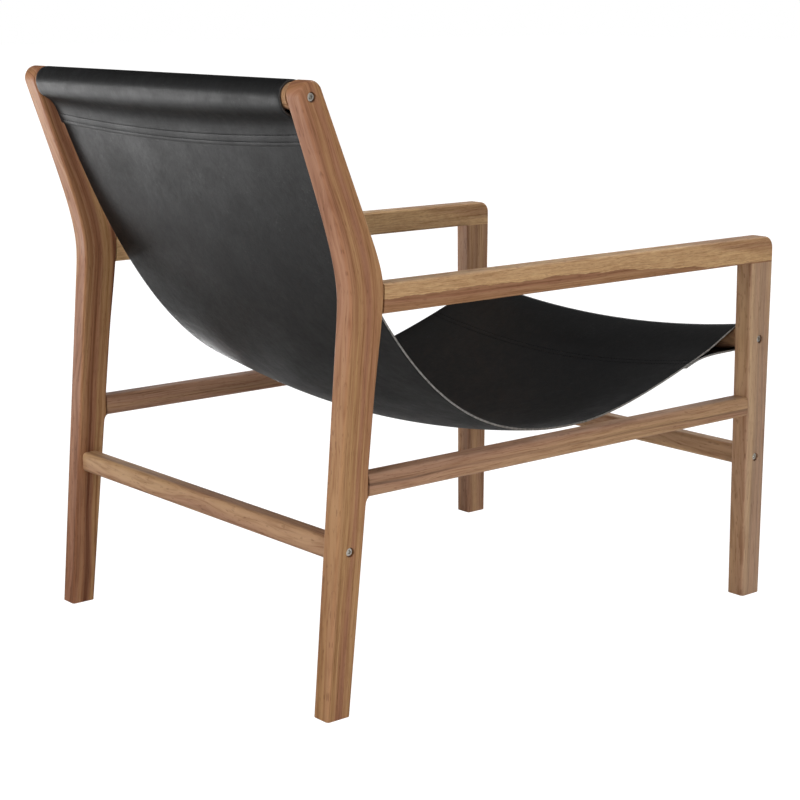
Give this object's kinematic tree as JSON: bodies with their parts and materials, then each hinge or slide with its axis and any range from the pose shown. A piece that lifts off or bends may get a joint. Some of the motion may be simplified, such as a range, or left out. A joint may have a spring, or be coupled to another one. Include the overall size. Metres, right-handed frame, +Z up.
{
  "type": "sling lounge chair",
  "caption": "Low lounge chair with a tapered timber frame, bent raked rear posts, level arms, and a leather sling sewn in sleeves round a top rail and a dished front rail.",
  "frame": {"origin": "on the floor, midway across the chair and midway along its overall depth", "axes": "+X towards the sitter's left, -Y the way the sitter faces, +Z up"},
  "size_m": [0.63, 0.8444, 0.7713],
  "materials": {
    "teak": "satin oiled, straight grain",
    "arm_teak": "satin oiled, golden straight grain",
    "beech": "plain hidden dowel",
    "leather": "smooth thick hide, soft sheen",
    "steel": "plain socket-head bolt",
    "zinc": "zinc-plated threaded insert"
  },
  "bodies": {
    "root": {"rear_post_right": "teak", "front_leg_right": "teak", "arm_right": "arm_teak", "side_stretcher_right": "teak", "arm_dowel_lower_right": "beech", "arm_dowel_upper_right": "beech", "rear_post_left": "teak", "front_leg_left": "teak", "arm_left": "arm_teak", "side_stretcher_left": "teak", "arm_dowel_lower_left": "beech", "arm_dowel_upper_left": "beech", "rear_stretcher": "teak", "front_stretcher": "teak", "top_rail": "teak", "front_rail": "teak", "leather_sling": "leather", "bolt_top_rail_right": "steel", "insert_top_rail_right": "zinc", "bolt_top_rail_left": "steel", "insert_top_rail_left": "zinc", "bolt_front_rail_right": "steel", "insert_front_rail_right": "zinc", "pin_front_rail_right": "beech", "bolt_front_rail_left": "steel", "insert_front_rail_left": "zinc", "pin_front_rail_left": "beech", "bolt_rear_stretcher_right": "steel", "insert_rear_stretcher_right": "zinc", "pin_rear_stretcher_right": "beech", "bolt_rear_stretcher_left": "steel", "insert_rear_stretcher_left": "zinc", "pin_rear_stretcher_left": "beech", "bolt_front_stretcher_right": "steel", "insert_front_stretcher_right": "zinc", "pin_front_stretcher_right": "beech", "bolt_front_stretcher_left": "steel", "insert_front_stretcher_left": "zinc", "pin_front_stretcher_left": "beech"}
  },
  "joints": []
}
